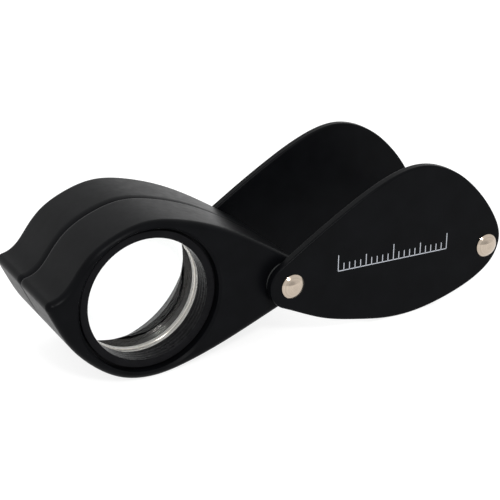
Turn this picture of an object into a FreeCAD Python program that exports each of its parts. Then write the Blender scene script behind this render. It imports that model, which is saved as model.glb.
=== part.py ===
"""A folding triplet loupe: a teardrop lens housing that swings between two cover plates.

Frame: millimetres, +Z up. The loupe stands half open on its lower edges, on the plane Z = 0.
X runs from the housing's thumb lip to the covers' far end, and Y runs along the lens axis, away
from the front cover. The origin is on the standing plane, under the pivot, midway between the covers.
Outlines are points (x, z) in the XZ plane. The rear half mirrors the front half about Y = 0, apart
from the rivets, the edges of the housing's seam and the field stop.
"""

import FreeCAD, Part
import math
import os

Vec = FreeCAD.Vector

# Pivot, lens and end rivet, as (x, z)
PIVOT = (0.0, 9.95)
LENS = (-22.0, 12.15)
END_RIVET = (35.8, 8.15)

# Thicknesses along Y
HOUSING_THICKNESS = 21.7
WASHER_GAP = 0.65
WASHER_THICKNESS = 0.60
PLATE_THICKNESS = 1.5

# Lens housing: two half shells that meet at the seam, Y = 0
HOUSING_END_R = 3.65
BULGE_R = 12.15
FACE_HOLE_R = 11.0
FACE_HOLE_BEVEL = 0.35
FACE_THICKNESS = 1.6
SIDE_WALL = 1.0
OUTER_EDGE_R = 1.1
LIP_TIP = (-38.05, 15.6)
LIP_TIP_R = 0.9
SEAM_EDGE_R = 0.5
SEAM_ROLL_R = 3.5
SEAM_ROLL_WIDTH = 1.3
POCKET = [(-15.0, 2.3), (-4.2, 5.8), (-4.2, 15.8), (-15.0, 21.4)]

# Cover plates
COVER_END_R = 3.7
COVER_EDGE_R = 0.3

# Rivets: a tubular post and a pin, each with a domed head
HEAD_R = 1.9
HEAD_HEIGHT = 0.95
HEAD_RIM = 0.15
POST_R = 1.35
PIN_R = 0.85
PIN_FIT = 0.01
PIN_END_GAP = 0.02
HOLE_FIT = 0.02
RUNNING_FIT = 0.06
BUSH_R = 2.2
PRESS_FIT = 0.01
WASHER_R = 3.3
SPACER_R = 1.85

# Lens barrel and what it holds, listed from the front
LENS_R = 10.25
BARREL_BORE_R = 10.3
BARREL_FIT = 0.02
COUNTERBORE_R = 10.65
RING_RECESS = 1.0
RING_FLANGE = 1.2
RING_FLANGE_R = 10.6
RING_LENGTH = 3.0
RING_BORE_R = 9.4
RING_CHAMFER = 0.1
SLEEVE_BORE_R = 9.75
STOP_BORE_R = 9.0
SEAT_LENGTH = 1.4
SEAT_BORE_R = 9.5
SEAT_CONE = 0.15
SEAT_LEDGE = 0.1
SEAT_GAP = 0.05
RADIAL_PLAY = 0.02

# Cemented triplet: two flint menisci on a crown
OUTER_RADIUS = 23.0
CEMENTED_RADIUS = 15.5
LENS_EDGE_Y = 4.2
FLINT_CENTRE = 1.6
CEMENT = 0.02

# Planes along Y, for the front half
HALF_HOUSING = HOUSING_THICKNESS / 2
PLATE_INNER_Y = HALF_HOUSING + WASHER_GAP
PLATE_OUTER_Y = PLATE_INNER_Y + PLATE_THICKNESS
FACE_INNER_Y = HALF_HOUSING - FACE_THICKNESS
BARREL_END_Y = FACE_INNER_Y - BARREL_FIT
RING_FRONT_Y = HALF_HOUSING - RING_RECESS
FLANGE_BACK_Y = RING_FRONT_Y - RING_FLANGE
RING_BACK_Y = RING_FRONT_Y - RING_LENGTH

# Outlines. The housing's upper edge runs from the lip, over the bulge, to the round pivot end,
# and its lower edge runs back to the lip. The cover's runs round from below the pivot to above it.
# Angles are in degrees from +Z towards +X: the span of the round ends about the pivot, and the
# headings of the two edges that meet at the lip.
HOUSING_UPPER = [
    LIP_TIP,
    (-36.1, 15.85),
    (-34.6, 16.7),
    (-32.9, 18.6),
    (-30.4, 21.2),
    (-26.4, 23.3),
    (LENS[0] + 0.6, LENS[1] + BULGE_R),
    (-16.0, 23.3),
    (-10.0, 20.85),
    (-4.4, 17.5),
]
HOUSING_LOWER = [
    (-2.5, 5.15),
    (-9.8, 2.55),
    (-16.4, 0.7),
    (LENS[0], LENS[1] - BULGE_R),
    (-27.2, 1.1),
    (-31.3, 4.0),
    (-34.5, 7.85),
    LIP_TIP,
]
HOUSING_END_TOP = 35.0
HOUSING_END_BOTTOM = 159.5
LIP_TOP_HEADING = 86.0
LIP_BOTTOM_HEADING = -25.0
COVER_EDGE = [
    (5.4, 3.15),
    (11.2, 1.4),
    (15.7, 0.4),
    (20.6, 0.0),
    (25.5, 0.5),
    (30.5, 1.75),
    (34.6, 3.5),
    (37.4, 5.9),
    (38.5, 9.2),
    (37.4, 12.9),
    (34.1, 17.8),
    (29.4, 22.05),
    (23.2, 24.2),
    (17.0, 23.1),
    (10.6, 20.25),
    (4.9, 17.15),
]
COVER_END_TOP = -31.0
COVER_END_BOTTOM = -154.5


def at(point, y=0.0):
    """The point (x, z) in the plane at this y."""
    return Vec(point[0], y, point[1])


def heading(angle):
    """The unit vector in the XZ plane at this angle, in degrees from +Z towards +X."""
    return Vec(math.sin(math.radians(angle)), 0, math.cos(math.radians(angle)))


def smooth_edge(points, start_angle, end_angle):
    """A spline through the points that starts and ends at these headings."""
    lengths = [0.0]
    for previous, point in zip(points, points[1:]):
        lengths.append(lengths[-1] + previous.distanceToPoint(point))
    curve = Part.BSplineCurve()
    curve.interpolate(
        Points=points,
        Parameters=lengths,
        InitialTangent=heading(start_angle),
        FinalTangent=heading(end_angle),
        Scale=False,
    )
    return curve.toShape()


def cylinder(centre, radius, y0, y1):
    """A cylinder along Y between two planes."""
    low, high = sorted((y0, y1))
    return Part.makeCylinder(radius, high - low, at(centre, low), Vec(0, 1, 0))


def tube(centre, bore, radius, y0, y1):
    """A ring along Y between two planes."""
    return cylinder(centre, radius, y0, y1).cut(cylinder(centre, bore, y0, y1))


def corners(centre, points):
    """Straight edges through the points (radius, y), beside the Y axis through centre."""
    x, z = centre
    return Part.makePolygon([Vec(x + r, y, z) for r, y in points]).Edges


def cap(centre, rim_r, apex_y, rim_y):
    """A spherical cap's section: an arc from its apex on the axis to its rim."""
    x, z = centre
    rise = abs(rim_y - apex_y)
    sphere_r = (rim_r**2 + rise**2) / (2 * rise)
    mid_r = rim_r / 2
    mid_rise = sphere_r - (sphere_r**2 - mid_r**2) ** 0.5
    mid_y = apex_y + mid_rise * (rim_y - apex_y) / rise
    points = [Vec(x, apex_y, z), Vec(x + mid_r, mid_y, z), Vec(x + rim_r, rim_y, z)]
    return Part.Arc(*points).toShape()


def turned(centre, edges):
    """A solid turned about the Y axis through centre, from the closed section these edges make."""
    section = Part.Face(Part.Wire(Part.__sortEdges__(edges)))
    return section.revolve(at(centre), Vec(0, 1, 0), 360)


def mirrored(shape):
    """The same piece on the other side of the plane Y = 0."""
    return shape.mirror(Vec(0, 0, 0), Vec(0, 1, 0))


def prism(edges, y0, y1):
    """The outline's edges as a solid between two planes."""
    face = Part.Face(Part.Wire(edges))
    face.translate(Vec(0, y0, 0))
    return face.extrude(Vec(0, y1 - y0, 0))


def edges_at(shape, y):
    """The shape's edges that lie whole in the plane at this y."""
    tolerance = 1e-4
    return [
        edge
        for edge in shape.Edges
        if abs(edge.BoundBox.YMin - y) < tolerance and abs(edge.BoundBox.YMax - y) < tolerance
    ]


def edges_along_y(shape, point):
    """The shape's straight edges that run along Y through the point (x, z)."""
    tolerance = 1e-3
    return [
        edge
        for edge in shape.Edges
        if all(
            abs(vertex.X - point[0]) < tolerance and abs(vertex.Z - point[1]) < tolerance
            for vertex in edge.Vertexes
        )
    ]


def housing_outline():
    """The housing's outline: two splines joined by the round pivot end, with a sharp lip."""
    pivot = at(PIVOT)
    top = pivot + heading(HOUSING_END_TOP) * HOUSING_END_R
    side = pivot + heading(90) * HOUSING_END_R
    bottom = pivot + heading(HOUSING_END_BOTTOM) * HOUSING_END_R
    upper = [at(point) for point in HOUSING_UPPER] + [top]
    lower = [bottom] + [at(point) for point in HOUSING_LOWER]
    return [
        smooth_edge(upper, LIP_TOP_HEADING, HOUSING_END_TOP + 90),
        Part.Arc(top, side, bottom).toShape(),
        smooth_edge(lower, HOUSING_END_BOTTOM + 90, LIP_BOTTOM_HEADING),
    ]


def cover_outline():
    """The cover's outline: one spline round the bulge and the far end, and the round pivot end."""
    pivot = at(PIVOT)
    top = pivot + heading(COVER_END_TOP) * COVER_END_R
    side = pivot + heading(-90) * COVER_END_R
    bottom = pivot + heading(COVER_END_BOTTOM) * COVER_END_R
    edge = [bottom] + [at(point) for point in COVER_EDGE] + [top]
    return [
        smooth_edge(edge, COVER_END_BOTTOM - 90, COVER_END_TOP - 90),
        Part.Arc(top, side, bottom).toShape(),
    ]


def housing_cavity():
    """The front shell's hollow: round the barrel, and a pocket on towards the pivot."""
    corner_points = [at(point) for point in POCKET + POCKET[:1]]
    pocket = prism(Part.makePolygon(corner_points).Edges, -FACE_INNER_Y, 0)
    return pocket.fuse(cylinder(LENS, BULGE_R - SIDE_WALL, -FACE_INNER_Y, 0))


def face_hole():
    """What is cut from the front shell's face: a round hole with a bevelled mouth."""
    mouth_r = FACE_HOLE_R + 2 * FACE_HOLE_BEVEL
    section = [
        (0, 0),
        (FACE_HOLE_R, 0),
        (FACE_HOLE_R, -HALF_HOUSING + FACE_HOLE_BEVEL),
        (mouth_r, -HALF_HOUSING - FACE_HOLE_BEVEL),
        (0, -HALF_HOUSING - FACE_HOLE_BEVEL),
        (0, 0),
    ]
    return turned(LENS, corners(LENS, section))


def housing_block(back_y, back_edge_r):
    """The front half of the housing, solid as far as the plane at back_y, with its edges rounded."""
    block = prism(housing_outline(), -HALF_HOUSING, back_y)
    block = block.makeFillet(LIP_TIP_R, edges_along_y(block, LIP_TIP))
    block = block.makeFillet(OUTER_EDGE_R, edges_at(block, -HALF_HOUSING))
    return block.makeFillet(back_edge_r, edges_at(block, back_y))


def hollowed(block):
    """The block as a cup, with a face hole for the lens and a hole for the bush."""
    shell = block.cut(housing_cavity()).cut(face_hole())
    return shell.cut(cylinder(PIVOT, BUSH_R + PRESS_FIT, -HALF_HOUSING, 0))


def front_housing_shell():
    """The front half of the housing, with a small round on its seam edge."""
    return hollowed(housing_block(0, SEAM_EDGE_R))


def rear_housing_shell():
    """The rear half of the housing. It rolls off gently to the seam, where it sits a little lower."""
    excess_y = SEAM_ROLL_R - SEAM_ROLL_WIDTH
    block = housing_block(excess_y, SEAM_ROLL_R)
    return mirrored(hollowed(block.cut(prism(housing_outline(), 0, excess_y))))


def front_cover_plate():
    """The front cover: a flat teardrop with softened edges and two rivet holes."""
    plate = prism(cover_outline(), -PLATE_OUTER_Y, -PLATE_INNER_Y)
    rims = edges_at(plate, -PLATE_OUTER_Y) + edges_at(plate, -PLATE_INNER_Y)
    plate = plate.makeFillet(COVER_EDGE_R, rims)
    for centre in (PIVOT, END_RIVET):
        hole = cylinder(centre, POST_R + HOLE_FIT, -PLATE_OUTER_Y, -PLATE_INNER_Y)
        plate = plate.cut(hole)
    return plate


def rivet_post(centre):
    """The tubular half of a rivet: the front head and a tube that reaches the rear cover's face."""
    rim_y = -(PLATE_OUTER_Y + HEAD_RIM)
    apex_y = -(PLATE_OUTER_Y + HEAD_HEIGHT)
    bore_r = PIN_R + PIN_FIT
    section = [
        (HEAD_R, rim_y),
        (HEAD_R, -PLATE_OUTER_Y),
        (POST_R, -PLATE_OUTER_Y),
        (POST_R, PLATE_OUTER_Y),
        (bore_r, PLATE_OUTER_Y),
        (bore_r, -PLATE_OUTER_Y),
        (0, -PLATE_OUTER_Y),
        (0, apex_y),
    ]
    return turned(centre, [cap(centre, HEAD_R, apex_y, rim_y)] + corners(centre, section))


def rivet_pin(centre):
    """The other half: the rear head and a pin that fills the post's tube."""
    rim_y = PLATE_OUTER_Y + HEAD_RIM
    apex_y = PLATE_OUTER_Y + HEAD_HEIGHT
    section = [
        (HEAD_R, rim_y),
        (HEAD_R, PLATE_OUTER_Y),
        (PIN_R, PLATE_OUTER_Y),
        (PIN_R, -PLATE_OUTER_Y + PIN_END_GAP),
        (0, -PLATE_OUTER_Y + PIN_END_GAP),
        (0, apex_y),
    ]
    return turned(centre, [cap(centre, HEAD_R, apex_y, rim_y)] + corners(centre, section))


def front_pivot_washer():
    """The washer between the front cover and the housing, with a running gap to the housing."""
    inner_face = -PLATE_INNER_Y
    return tube(PIVOT, POST_R + HOLE_FIT, WASHER_R, inner_face, inner_face + WASHER_THICKNESS)


def lens_barrel():
    """The tube that holds the lens, caught between the two shells, with a step for each ring."""
    barrel_r = BULGE_R - SIDE_WALL - BARREL_FIT
    barrel = tube(LENS, BARREL_BORE_R, barrel_r, -BARREL_END_Y, BARREL_END_Y)
    step = cylinder(LENS, COUNTERBORE_R, FLANGE_BACK_Y, BARREL_END_Y)
    return barrel.cut(step).cut(mirrored(step))


def front_retaining_ring():
    """The front ring: a flange on the barrel's step and a spigot that screws into its bore."""
    spigot_r = BARREL_BORE_R - RADIAL_PLAY
    section = [
        (RING_BORE_R, -RING_BACK_Y),
        (RING_BORE_R, -RING_FRONT_Y + RING_CHAMFER),
        (RING_BORE_R + RING_CHAMFER, -RING_FRONT_Y),
        (RING_FLANGE_R - RING_CHAMFER, -RING_FRONT_Y),
        (RING_FLANGE_R, -RING_FRONT_Y + RING_CHAMFER),
        (RING_FLANGE_R, -FLANGE_BACK_Y),
        (spigot_r, -FLANGE_BACK_Y),
        (spigot_r, -RING_BACK_Y),
        (RING_BORE_R, -RING_BACK_Y),
    ]
    return turned(LENS, corners(LENS, section))


def lens_face_y(radius):
    """How far the lens's outer surface is from Y = 0 at this radius."""
    return LENS_EDGE_Y + (OUTER_RADIUS**2 - radius**2) ** 0.5 - (OUTER_RADIUS**2 - LENS_R**2) ** 0.5


def seat_span():
    """Where the lens seat begins and ends, as distances from Y = 0."""
    back_y = lens_face_y(SEAT_BORE_R) + SEAT_GAP
    return back_y, back_y + SEAT_LENGTH


def front_lens_seat():
    """The ring that bears on the lens near its edge, with a conical bore and a ledge half way."""
    outer_r = BARREL_BORE_R - RADIAL_PLAY
    back_y, front_y = seat_span()
    ledge_y = (back_y + front_y) / 2
    section = [
        (SEAT_BORE_R, -back_y),
        (SEAT_BORE_R + SEAT_CONE / 2, -ledge_y),
        (SEAT_BORE_R + SEAT_CONE / 2 + SEAT_LEDGE, -ledge_y),
        (SEAT_BORE_R + SEAT_CONE + SEAT_LEDGE, -front_y),
        (outer_r, -front_y),
        (outer_r, -back_y),
        (SEAT_BORE_R, -back_y),
    ]
    return turned(LENS, corners(LENS, section))


def sleeve(bore_r):
    """A sleeve that fills the length between the front retaining ring and the front seat."""
    outer_r = BARREL_BORE_R - RADIAL_PLAY
    return tube(LENS, bore_r, outer_r, -RING_BACK_Y, -seat_span()[1])


def lens_element(front_apex, front_edge, back_apex, back_edge):
    """A lens turned about its axis, with the y of each surface's apex and edge."""
    edges = [
        cap(LENS, LENS_R, front_apex, front_edge),
        cap(LENS, LENS_R, back_apex, back_edge),
    ]
    edges += corners(LENS, [(LENS_R, front_edge), (LENS_R, back_edge)])
    edges += corners(LENS, [(0, front_apex), (0, back_apex)])
    return turned(LENS, edges)


def triplet():
    """The cemented lens: front flint, crown and rear flint."""
    outer_apex = -lens_face_y(0)
    joint_apex = outer_apex + FLINT_CENTRE
    joint_fall = CEMENTED_RADIUS - (CEMENTED_RADIUS**2 - LENS_R**2) ** 0.5
    joint_edge = joint_apex + joint_fall
    flint = lens_element(outer_apex, -LENS_EDGE_Y, joint_apex, joint_edge)
    crown_apex = joint_apex + CEMENT
    crown_edge = joint_edge + CEMENT
    crown = lens_element(crown_apex, crown_edge, -crown_apex, -crown_edge)
    return {"front_flint_lens": flint, "crown_lens": crown, "rear_flint_lens": mirrored(flint)}


def loupe():
    """Every piece of the loupe, by name."""
    pieces = {
        "pivot_rivet_post": rivet_post(PIVOT),
        "pivot_rivet_pin": rivet_pin(PIVOT),
        "end_rivet_post": rivet_post(END_RIVET),
        "end_rivet_pin": rivet_pin(END_RIVET),
        "end_spacer": tube(
            END_RIVET, POST_R + HOLE_FIT, SPACER_R, -PLATE_INNER_Y, PLATE_INNER_Y
        ),
        "pivot_bush": tube(PIVOT, POST_R + RUNNING_FIT, BUSH_R, -HALF_HOUSING, HALF_HOUSING),
        "lens_barrel": lens_barrel(),
        "front_sleeve": sleeve(SLEEVE_BORE_R),
        "rear_field_stop": mirrored(sleeve(STOP_BORE_R)),
        "front_housing_shell": front_housing_shell(),
        "rear_housing_shell": rear_housing_shell(),
    }
    pairs = {
        "cover_plate": front_cover_plate(),
        "pivot_washer": front_pivot_washer(),
        "retaining_ring": front_retaining_ring(),
        "lens_seat": front_lens_seat(),
    }
    for name, front in pairs.items():
        pieces["front_" + name] = front
        pieces["rear_" + name] = mirrored(front)
    pieces.update(triplet())
    return pieces


def main():
    os.makedirs("parts", exist_ok=True)
    for name, shape in loupe().items():
        solids = shape.Solids
        if len(solids) != 1 or not shape.isValid():
            raise RuntimeError(f"{name} isn't one valid solid")
        solids[0].exportStep(f"parts/{name}.step")
        print(name, "volume", round(solids[0].Volume, 1))


main()
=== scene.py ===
"""The looks of a folding triplet loupe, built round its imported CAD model. Lengths are in metres."""

import math

import bmesh
import bpy
from mathutils import Matrix, Vector


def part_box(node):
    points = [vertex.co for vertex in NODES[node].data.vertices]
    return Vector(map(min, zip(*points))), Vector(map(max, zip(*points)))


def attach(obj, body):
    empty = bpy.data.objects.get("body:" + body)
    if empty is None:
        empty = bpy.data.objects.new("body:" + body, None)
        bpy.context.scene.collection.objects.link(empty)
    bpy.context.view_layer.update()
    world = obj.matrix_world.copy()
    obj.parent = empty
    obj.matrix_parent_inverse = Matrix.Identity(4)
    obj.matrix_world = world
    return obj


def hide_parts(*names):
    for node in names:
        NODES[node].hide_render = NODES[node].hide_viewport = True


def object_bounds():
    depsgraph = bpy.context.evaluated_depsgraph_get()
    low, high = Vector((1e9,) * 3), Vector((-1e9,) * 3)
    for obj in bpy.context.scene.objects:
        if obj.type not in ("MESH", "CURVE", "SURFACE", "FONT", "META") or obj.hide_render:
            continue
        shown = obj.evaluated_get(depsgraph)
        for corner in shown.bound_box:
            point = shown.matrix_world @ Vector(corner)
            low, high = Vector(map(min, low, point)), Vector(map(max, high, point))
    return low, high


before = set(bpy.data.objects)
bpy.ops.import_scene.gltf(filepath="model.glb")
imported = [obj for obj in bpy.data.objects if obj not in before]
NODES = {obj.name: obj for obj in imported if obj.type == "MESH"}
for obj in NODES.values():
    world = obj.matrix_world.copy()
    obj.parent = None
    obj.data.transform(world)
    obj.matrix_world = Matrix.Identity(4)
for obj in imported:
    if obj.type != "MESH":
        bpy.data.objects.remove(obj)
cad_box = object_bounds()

MM = 0.001

# Camera: where it stands, the direction it looks in, its roll and its lens
CAMERA_PLACE = Vector((-93.91, -178.62, 99.2)) * MM
CAMERA_LOOK = Vector((0.42603, 0.81143, -0.40012))
CAMERA_ROLL = math.radians(-2.16)
CAMERA_LENS = 101.5
CAMERA_NEAREST = 10.0 * MM
SENSOR_WIDTH = 36.0

# Studio: the surroundings' grey from the front (0) to the back (1), the floor and the key light
WORLD_SHADES = [(0.0, 0.6), (0.03, 0.63), (0.09, 0.9), (0.5, 1.0)]
WORLD_STRENGTH = 1.1
FLOOR_HALF_WIDTH = 3.0
FLOOR_GAP = 0.02 * MM
FLOOR_TONE = (0.3, 0.3, 0.3, 1)
FLOOR_GLOW = 0.82
KEY_PLACE = Vector((-0.10, -0.40, 0.38))
KEY_AIM = Vector((0, 0, 0.01))
KEY_SIZE = 0.09
KEY_POWER = 1.2

# Lens mesh: steps round it, rings from axis to rim, and what counts as rim, axis, edge and crease
LENS_STEPS = 96
LENS_RINGS = 40
RIM_SHARE = 0.999
ON_AXIS = 1e-9
EDGE_NORMAL_Y = 0.01
CREASE_ANGLE = math.radians(25)

# Scale printed on the front cover: a tick's length goes by the largest step it falls on
INK_THICKNESS = 0.02 * MM
LINE_WIDTH = 0.14 * MM
TICK_PITCH = 1.0 * MM
TICK_COUNT = 20
TICK_LENGTHS = {10: 2.6 * MM, 5: 1.9 * MM, 1: 1.2 * MM}
PRINT_LIFT = 0.9 * MM

# Black coat, and the painted highlight beside the housing's seam: a lighter line in the coat's colour
COAT_TONE = (0.0024, 0.0026, 0.0032)
COAT_ROUGH = 0.34
COAT_SPECULAR = 0.042
SEAM_HIGHLIGHT_Y = -0.35 * MM
SEAM_HIGHLIGHT_WIDTH = 0.8 * MM
SEAM_HIGHLIGHT_TONE = (0.024, 0.024, 0.024)

# Nickel plate on both rivets
NICKEL_TONE = (0.52, 0.44, 0.36)
NICKEL_ROUGH = 0.14


def centre_of(node):
    """The middle of a CAD node's box."""
    low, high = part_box(node)
    return (low + high) / 2


def add_object(name, data):
    """A new object in the scene."""
    item = bpy.data.objects.new(name, data)
    bpy.context.scene.collection.objects.link(item)
    return item


def add_mesh(name, mesh):
    """A new object from a bmesh, with its faces turned outwards."""
    bmesh.ops.recalc_face_normals(mesh, faces=mesh.faces)
    data = bpy.data.meshes.new(name)
    mesh.to_mesh(data)
    mesh.free()
    return add_object(name, data)


# ---------------------------------------------------------------- nodes

def new_material(name):
    """A new node material, its tree and its Principled shader."""
    material = bpy.data.materials.new(name)
    material.use_nodes = True
    return material, material.node_tree, material.node_tree.nodes["Principled BSDF"]


def add_node(tree, kind, **values):
    """A new shader node, with the given input sockets or properties set."""
    node = tree.nodes.new(kind)
    for key, value in values.items():
        if key in node.inputs:
            node.inputs[key].default_value = value
        else:
            setattr(node, key, value)
    return node


def calculate(tree, kind, operation, *values):
    """A Math or Vector Math node that works on these sockets or fixed values."""
    node = add_node(tree, kind, operation=operation)
    for socket, value in zip(node.inputs, values):
        if isinstance(value, bpy.types.NodeSocket):
            tree.links.new(value, socket)
        else:
            socket.default_value = value
    return node


def number(tree, operation, *values):
    """The result of an operation on numbers."""
    return calculate(tree, "ShaderNodeMath", operation, *values).outputs["Value"]


def vector(tree, operation, *values):
    """The result of an operation on vectors."""
    return calculate(tree, "ShaderNodeVectorMath", operation, *values).outputs["Vector"]


def length_of(tree, value):
    """A vector's length."""
    return calculate(tree, "ShaderNodeVectorMath", "LENGTH", value).outputs["Value"]


def y_of(tree, value):
    """A vector's Y."""
    split = tree.nodes.new("ShaderNodeSeparateXYZ")
    tree.links.new(value, split.inputs["Vector"])
    return split.outputs["Y"]


def map_range(tree, value, start, end, low, high):
    """Low where the value is at start, high where it is at end, and in between."""
    node = tree.nodes.new("ShaderNodeMapRange")
    tree.links.new(value, node.inputs["Value"])
    node.inputs["From Min"].default_value = start
    node.inputs["From Max"].default_value = end
    node.inputs["To Min"].default_value = low
    node.inputs["To Max"].default_value = high
    return node.outputs["Result"]


def ramp(tree, value, stops):
    """A colour ramp on a value, with stops as (position, grey or colour)."""
    node = tree.nodes.new("ShaderNodeValToRGB")
    tree.links.new(value, node.inputs["Fac"])
    elements = node.color_ramp.elements
    while len(elements) < len(stops):
        elements.new(0.5)
    for element, (position, colour) in zip(elements, stops):
        element.position = position
        rgb = (colour,) * 3 if isinstance(colour, (int, float)) else colour
        element.color = (*rgb, 1)
    return node.outputs["Color"]


def shade(tone, factor):
    """A tone made darker or lighter."""
    return [channel * factor for channel in tone]


def object_place(tree):
    """Where a point is, in the object's own metres."""
    return tree.nodes.new("ShaderNodeTexCoord").outputs["Object"]


def noise(tree, place, scale, detail=4.0):
    """A noise texture's value at this place, with this many cells to the metre."""
    node = add_node(tree, "ShaderNodeTexNoise", Scale=scale, Detail=detail)
    tree.links.new(place, node.inputs["Vector"])
    return node.outputs["Fac"]


def bump(tree, shader, height, distance, strength=1.0):
    """A bump from this height, on the shader's normal."""
    node = add_node(tree, "ShaderNodeBump", Strength=strength, Distance=distance)
    tree.links.new(height, node.inputs["Height"])
    tree.links.new(node.outputs["Normal"], shader.inputs["Normal"])


def turned_place(tree, place, axis):
    """Distance out from the line along Y through axis, plus distance along it.

    It is the same all the way round, so a pattern on it runs in rings.
    """
    offset = vector(tree, "SUBTRACT", place, axis)
    radius = length_of(tree, vector(tree, "MULTIPLY", offset, (1, 0, 1)))
    return number(tree, "ADD", radius, y_of(tree, offset))


def turned_grooves(tree, along, pitch):
    """The height of fine grooves, this far apart."""
    return number(tree, "SINE", number(tree, "MULTIPLY", along, 2 * math.pi / pitch))


# ---------------------------------------------------------------- materials

def satin_black(name):
    """Baked satin black coat: a fine orange peel, with faint mottling in tone and gloss."""
    material, tree, shader = new_material(name)
    place = object_place(tree)
    tones = [(0.3, shade(COAT_TONE, 0.8)), (0.7, shade(COAT_TONE, 1.25))]
    tree.links.new(ramp(tree, noise(tree, place, scale=260.0), tones), shader.inputs["Base Color"])
    gloss = [(0.3, COAT_ROUGH - 0.03), (0.7, COAT_ROUGH + 0.04)]
    tree.links.new(ramp(tree, noise(tree, place, scale=900.0), gloss), shader.inputs["Roughness"])
    shader.inputs["Specular IOR Level"].default_value = COAT_SPECULAR
    peel = noise(tree, place, scale=5200.0, detail=2.0)
    bump(tree, shader, peel, distance=0.01 * MM, strength=0.3)
    return material


def satin_black_painted_highlight(name):
    """Satin black coat with a painted highlight: lighter, and unevenly so, along a line at a fixed y
    beside the seam.
    """
    material = satin_black(name)
    tree = material.node_tree
    base_colour = tree.nodes["Principled BSDF"].inputs["Base Color"]
    coat = base_colour.links[0].from_socket
    place = object_place(tree)
    distance = number(tree, "ABSOLUTE", number(tree, "SUBTRACT", y_of(tree, place), SEAM_HIGHLIGHT_Y))
    fade = map_range(tree, distance, 0.0, SEAM_HIGHLIGHT_WIDTH / 2, 1.0, 0.0)
    uneven = ramp(tree, noise(tree, place, scale=500.0), [(0.3, 0.7), (0.7, 1.0)])
    amount = number(tree, "MULTIPLY", fade, uneven)
    # The painted highlight's lighter tone is added to the coat's colour here.
    tree.links.new(vector(tree, "MULTIPLY_ADD", amount, SEAM_HIGHLIGHT_TONE, coat), base_colour)
    return material


def turned_black(name, tone, rough, specular, pitch, depth):
    """Black over a surface turned about the lens axis: concentric grooves and uneven gloss."""
    material, tree, shader = new_material(name)
    place = object_place(tree)
    tones = [(0.3, shade(tone, 0.7)), (0.7, tone)]
    tree.links.new(ramp(tree, noise(tree, place, scale=420.0), tones), shader.inputs["Base Color"])
    gloss = [(0.3, rough - 0.05), (0.7, rough + 0.06)]
    tree.links.new(ramp(tree, noise(tree, place, scale=1100.0), gloss), shader.inputs["Roughness"])
    shader.inputs["Specular IOR Level"].default_value = specular
    along = turned_place(tree, place, centre_of("lens_barrel"))
    bump(tree, shader, turned_grooves(tree, along, pitch), depth)
    return material


def turned_metal(name, turned_node, tone, dark_ring, rough, pitch, depth):
    """Bare metal turned about a node's axis: fine grooves, uneven gloss and rings of tone.

    The darkest rings have the tone times dark_ring.
    """
    material, tree, shader = new_material(name)
    shader.inputs["Metallic"].default_value = 1.0
    place = object_place(tree)
    along = turned_place(tree, place, centre_of(turned_node))
    rings = noise(tree, along, scale=5500.0, detail=1.0)
    tones = [(0.38, shade(tone, dark_ring)), (0.6, tone)]
    tree.links.new(ramp(tree, rings, tones), shader.inputs["Base Color"])
    gloss = [(0.35, rough * 0.75), (0.7, rough * 1.35)]
    tree.links.new(ramp(tree, noise(tree, place, scale=2500.0), gloss), shader.inputs["Roughness"])
    bump(tree, shader, turned_grooves(tree, along, pitch), depth)
    return material


def nickel(name, turned_node):
    """Nickel plate over a turned head, with faint rings and handling marks."""
    material, tree, shader = new_material(name)
    shader.inputs["Metallic"].default_value = 1.0
    place = object_place(tree)
    along = turned_place(tree, place, centre_of(turned_node))
    rings = noise(tree, along, scale=3000.0, detail=1.0)
    tones = [(0.35, shade(NICKEL_TONE, 0.85)), (0.65, NICKEL_TONE)]
    tree.links.new(ramp(tree, rings, tones), shader.inputs["Base Color"])
    gloss = [(0.35, NICKEL_ROUGH * 0.7), (0.7, NICKEL_ROUGH * 1.4)]
    tree.links.new(ramp(tree, noise(tree, place, scale=2500.0), gloss), shader.inputs["Roughness"])
    marks = noise(tree, place, scale=1800.0)
    bump(tree, shader, marks, distance=0.01 * MM, strength=0.2)
    return material


def black_nylon():
    """Matt black nylon, slightly mottled."""
    material, tree, shader = new_material("black_nylon")
    tone = (0.05, 0.052, 0.052)
    place = object_place(tree)
    tones = [(0.3, shade(tone, 0.8)), (0.7, tone)]
    tree.links.new(ramp(tree, noise(tree, place, scale=600.0), tones), shader.inputs["Base Color"])
    shader.inputs["Roughness"].default_value = 0.6
    shader.inputs["Specular IOR Level"].default_value = 0.25
    bump(tree, shader, noise(tree, place, scale=3000.0), distance=0.01 * MM, strength=0.4)
    return material


def white_ink():
    """Screen-printed white ink, slightly uneven."""
    material, tree, shader = new_material("white_ink")
    tone = (0.42, 0.44, 0.48)
    place = object_place(tree)
    tones = [(0.3, shade(tone, 0.85)), (0.7, tone)]
    tree.links.new(ramp(tree, noise(tree, place, scale=1500.0), tones), shader.inputs["Base Color"])
    shader.inputs["Roughness"].default_value = 0.55
    bump(tree, shader, noise(tree, place, scale=4000.0), distance=0.005 * MM, strength=0.4)
    return material


def lens_glass():
    """Clear glass, nearly without colour."""
    material, _, shader = new_material("clear_glass")
    shader.inputs["Transmission Weight"].default_value = 1.0
    shader.inputs["Roughness"].default_value = 0.0
    shader.inputs["IOR"].default_value = 1.52
    shader.inputs["Base Color"].default_value = (0.99, 1.0, 0.995, 1)
    return material


def lens_edge_paint():
    """The dull black paint on the lens's edge."""
    return turned_black(
        "lens_edge_paint", tone=(0.004, 0.004, 0.005), rough=0.5, specular=0.2,
        pitch=0.9 * MM, depth=0.004 * MM,
    )


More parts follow.
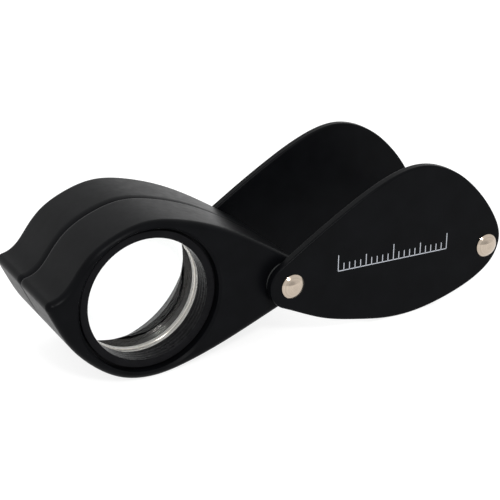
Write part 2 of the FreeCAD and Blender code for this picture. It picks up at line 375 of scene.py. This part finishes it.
def finishes():
    """Each finish, with the CAD nodes that have it."""
    black_anodised = turned_black(
        "black_anodised", tone=(0.0065, 0.0065, 0.0075), rough=0.28, specular=0.034,
        pitch=0.75 * MM, depth=0.012 * MM,
    )
    bright_turned = turned_metal(
        "bright_turned", "lens_barrel", tone=(0.86, 0.84, 0.80), dark_ring=0.5, rough=0.2,
        pitch=0.22 * MM, depth=0.008 * MM,
    )
    turned_steel = turned_metal(
        "turned_steel", "end_spacer", tone=(0.42, 0.41, 0.40), dark_ring=0.85, rough=0.12,
        pitch=0.6 * MM, depth=0.0012 * MM,
    )
    brass = turned_metal(
        "brass", "pivot_bush", tone=(0.75, 0.55, 0.25), dark_ring=0.85, rough=0.15,
        pitch=0.6 * MM, depth=0.0012 * MM,
    )
    anodised_nodes = [
        "front_retaining_ring", "rear_retaining_ring", "front_sleeve", "rear_field_stop",
        "lens_barrel", "rear_lens_seat",
    ]
    return [
        (satin_black("black_coat"), ["front_cover_plate", "rear_cover_plate", "rear_housing_shell"]),
        # The front shell's coat carries a painted highlight along its seam edge.
        (satin_black_painted_highlight("housing_coat"), ["front_housing_shell"]),
        (black_anodised, anodised_nodes),
        (black_nylon(), ["front_pivot_washer", "rear_pivot_washer"]),
        (bright_turned, ["front_lens_seat"]),
        (nickel("pivot_nickel", "pivot_rivet_post"), ["pivot_rivet_post", "pivot_rivet_pin"]),
        (nickel("end_nickel", "end_rivet_post"), ["end_rivet_post", "end_rivet_pin"]),
        (turned_steel, ["end_spacer"]),
        (brass, ["pivot_bush"]),
    ]


def finish_nodes():
    """Give every CAD node that shows its finish."""
    for material, names in finishes():
        for name in names:
            slots = NODES[name].data.materials
            slots.clear()
            slots.append(material)


# ---------------------------------------------------------------- lens

def lens_profile(rim_r, edge_y, apex_y):
    """A biconvex lens's section from apex to apex, as (radius, y)."""
    rise = apex_y - edge_y
    sphere_r = (rim_r**2 + rise**2) / (2 * rise)
    front = []
    for step in range(LENS_RINGS + 1):
        r = rim_r * math.sin(math.pi / 2 * step / LENS_RINGS)
        front.append((r, -(apex_y - sphere_r + math.sqrt(sphere_r**2 - r**2))))
    return front + [(r, -y) for r, y in reversed(front)]


def turned_mesh(name, centre, profile):
    """A closed mesh turned about a line along Y. The profile starts and ends on the axis."""
    mesh = bmesh.new()
    angles = [2 * math.pi * k / LENS_STEPS for k in range(LENS_STEPS)]
    rings = []
    for r, y in profile:
        turns = [0.0] if r < ON_AXIS else angles
        places = [(r * math.cos(a), y, r * math.sin(a)) for a in turns]
        rings.append([mesh.verts.new(centre + Vector(place)) for place in places])
    for first, second in zip(rings, rings[1:]):
        for k in range(LENS_STEPS):
            n = (k + 1) % LENS_STEPS
            if len(first) == 1:
                mesh.faces.new((first[0], second[k], second[n]))
            elif len(second) == 1:
                mesh.faces.new((first[k], second[0], first[n]))
            else:
                mesh.faces.new((first[k], second[k], second[n], first[n]))
    piece = add_mesh(name, mesh)
    piece.data.shade_smooth()
    return piece


def cemented_triplet():
    """The three lens elements as one clear body: the cemented faces inside don't show."""
    low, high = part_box("front_flint_lens")
    centre = Vector(((low.x + high.x) / 2, 0, (low.z + high.z) / 2))
    rim_r = (high.x - low.x) / 2
    front = NODES["front_flint_lens"].data.vertices
    edge_y = -min(v.co.y for v in front if (v.co - centre).xz.length > rim_r * RIM_SHARE)
    lens = turned_mesh("cemented_triplet", centre, lens_profile(rim_r, edge_y, -low.y))
    lens.data.materials.append(lens_glass())
    lens.data.materials.append(lens_edge_paint())
    for face in lens.data.polygons:
        painted_edge = abs(face.normal.y) < EDGE_NORMAL_Y
        face.material_index = int(painted_edge)
    lens.data.set_sharp_from_angle(angle=CREASE_ANGLE)
    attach(lens, "lens_housing")
    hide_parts("front_flint_lens", "crown_lens", "rear_flint_lens")


# ---------------------------------------------------------------- print on the front cover

def tick_length(index):
    """How long a tick is: longest each tenth, longer each fifth."""
    return next(length for step, length in TICK_LENGTHS.items() if index % step == 0)


def printed_bar(mesh, start, end, face_y):
    """A flat bar of ink between two points (x, z) on the face at this y."""
    run = (end - start).normalized()
    side = Vector((-run.y, run.x)) * LINE_WIDTH / 2
    outline = [start - side, end - side, end + side, start + side]
    front = [mesh.verts.new((p.x, face_y - INK_THICKNESS, p.y)) for p in outline]
    back = [mesh.verts.new((p.x, face_y + INK_THICKNESS, p.y)) for p in outline]
    mesh.faces.new(front)
    mesh.faces.new(back[::-1])
    for k in range(len(outline)):
        n = (k + 1) % len(outline)
        mesh.faces.new((front[n], front[k], back[k], back[n]))


def cover_scale():
    """A plain millimetre scale printed on the front cover, along the line between the rivets."""
    pivot = centre_of("pivot_rivet_post").xz
    end = centre_of("end_rivet_post").xz
    along = (end - pivot).normalized()
    up = Vector((-along.y, along.x))
    face_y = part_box("front_cover_plate")[0].y
    base = (pivot + end) / 2 - along * TICK_PITCH * TICK_COUNT / 2 + up * PRINT_LIFT
    mesh = bmesh.new()
    printed_bar(mesh, base, base + along * TICK_PITCH * TICK_COUNT, face_y)
    for index in range(TICK_COUNT + 1):
        foot = base + along * TICK_PITCH * index
        printed_bar(mesh, foot, foot + up * tick_length(index), face_y)
    scale = add_mesh("cover_scale", mesh)
    scale.data.materials.append(white_ink())
    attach(scale, "covers")


# ---------------------------------------------------------------- stage

def floor():
    """A plain pale floor that glows a little, under the lowest point of the loupe."""
    data = bpy.data.meshes.new("studio_floor")
    half = FLOOR_HALF_WIDTH
    z = cad_box[0][2] - FLOOR_GAP
    corners = [(-half, -half, z), (half, -half, z), (half, half, z), (-half, half, z)]
    data.from_pydata(corners, [], [(0, 1, 2, 3)])
    plane = add_object("studio_floor", data)
    material, _, shader = new_material("floor_paper")
    shader.inputs["Base Color"].default_value = FLOOR_TONE
    shader.inputs["Roughness"].default_value = 0.9
    shader.inputs["Specular IOR Level"].default_value = 0.0
    shader.inputs["Emission Color"].default_value = (1, 1, 1, 1)
    shader.inputs["Emission Strength"].default_value = FLOOR_GLOW
    data.materials.append(material)


def surroundings():
    """Nearly white surroundings, slightly darker in front of the loupe."""
    world = bpy.data.worlds.new("studio")
    world.use_nodes = True
    tree = world.node_tree
    background = tree.nodes["Background"]
    direction = tree.nodes.new("ShaderNodeTexCoord").outputs["Generated"]
    depth = map_range(tree, y_of(tree, direction), -1.0, 1.0, 0.0, 1.0)
    tree.links.new(ramp(tree, depth, WORLD_SHADES), background.inputs["Color"])
    background.inputs["Strength"].default_value = WORLD_STRENGTH
    bpy.context.scene.world = world
    bpy.context.scene.view_settings.view_transform = "Standard"


def key_light():
    """A small soft round light, in front and above."""
    light = bpy.data.lights.new("key", "AREA")
    light.shape = "DISK"
    light.size = KEY_SIZE
    light.energy = KEY_POWER
    lamp = add_object("key", light)
    lamp.location = KEY_PLACE
    lamp.rotation_euler = (KEY_AIM - KEY_PLACE).to_track_quat("-Z", "Y").to_euler()


def camera():
    """The camera, at the viewing angle that shows the front and the top."""
    data = bpy.data.cameras.new("view")
    data.lens = CAMERA_LENS
    data.sensor_width = SENSOR_WIDTH
    data.clip_start = CAMERA_NEAREST
    body = add_object("view", data)
    turn = CAMERA_LOOK.to_track_quat("-Z", "Y").to_matrix().to_4x4()
    roll = Matrix.Rotation(CAMERA_ROLL, 4, "Z")
    body.matrix_world = Matrix.Translation(CAMERA_PLACE) @ turn @ roll
    bpy.context.scene.camera = body


finish_nodes()
cemented_triplet()
cover_scale()
floor()
surroundings()
key_light()
camera()
